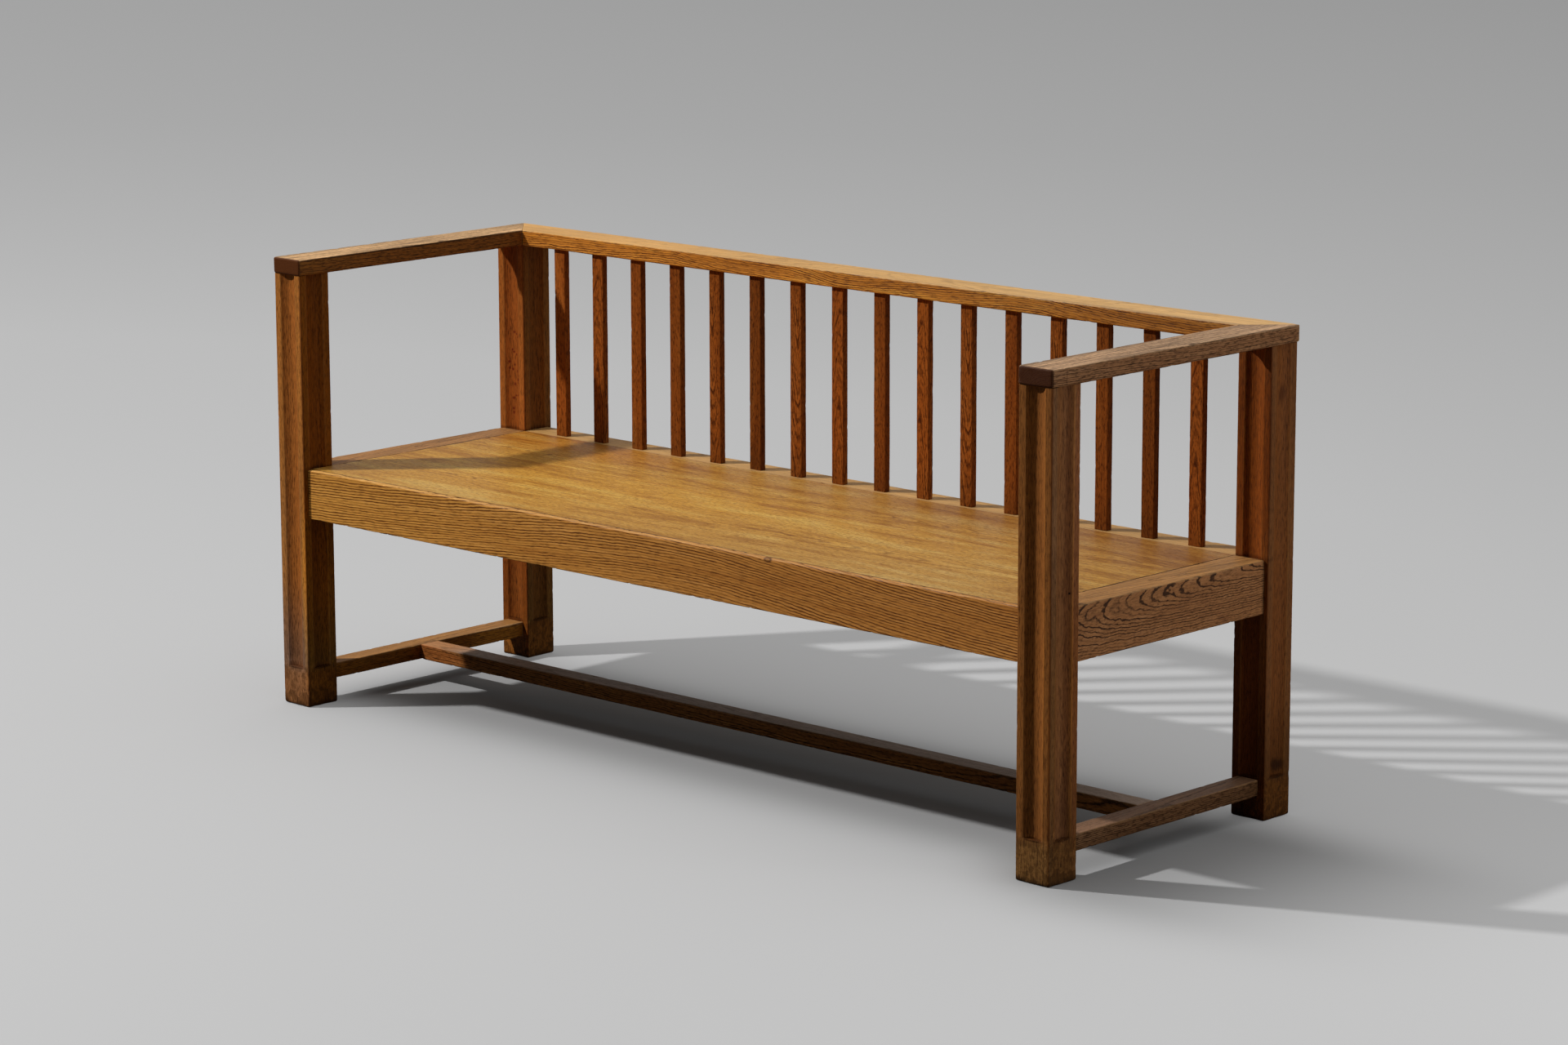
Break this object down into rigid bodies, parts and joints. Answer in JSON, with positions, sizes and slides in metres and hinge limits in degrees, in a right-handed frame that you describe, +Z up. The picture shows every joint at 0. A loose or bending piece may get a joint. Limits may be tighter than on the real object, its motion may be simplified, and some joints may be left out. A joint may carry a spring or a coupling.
{
  "type": "settle",
  "caption": "Oak settle with fluted square legs, flat arms mitred into a back rail, a slatted back, a framed plank seat and a low H-shaped stretcher.",
  "frame": {"origin": "on the floor, under the centre of the settle's bounding box", "axes": "+X along the settle towards the viewer's right when it is seen from the front, +Y to the back, +Z up"},
  "size_m": [1.704, 0.576, 0.764],
  "materials": {
    "seat_oak": "waxed, worn to a honey gold",
    "seat_rail_oak": "waxed brown with dark grain lines",
    "back_rail_oak": "waxed, worn to a pale gold",
    "arm_oak": "worn and greyed on top, dark brown at the sides",
    "slat_oak": "waxed red brown",
    "leg_oak": "waxed dark red brown",
    "stretcher_oak": "waxed dark brown, scuffed",
    "inner_oak": "plain unfinished oak"
  },
  "bodies": {
    "root": {"arm_left": "arm_oak", "arm_right": "arm_oak", "back_rail": "back_rail_oak", "end_rail_left": "seat_rail_oak", "end_rail_right": "seat_rail_oak", "front_rail": "seat_rail_oak", "leg_front_left": "leg_oak", "leg_front_right": "leg_oak", "leg_rear_left": "leg_oak", "leg_rear_right": "leg_oak", "long_stretcher": "stretcher_oak", "mitre_tongue_left": "inner_oak", "mitre_tongue_right": "inner_oak", "rear_rail": "seat_rail_oak", "seat_bearer_1": "inner_oak", "seat_bearer_2": "inner_oak", "seat_bearer_3": "inner_oak", "seat_board_front": "seat_oak", "seat_board_rear": "seat_oak", "side_stretcher_left": "stretcher_oak", "side_stretcher_right": "stretcher_oak", "slat_01": "slat_oak", "slat_02": "slat_oak", "slat_03": "slat_oak", "slat_04": "slat_oak", "slat_05": "slat_oak", "slat_06": "slat_oak", "slat_07": "slat_oak", "slat_08": "slat_oak", "slat_09": "slat_oak", "slat_10": "slat_oak", "slat_11": "slat_oak", "slat_12": "slat_oak", "slat_13": "slat_oak", "slat_14": "slat_oak", "slat_15": "slat_oak", "slat_16": "slat_oak"}
  },
  "joints": []
}
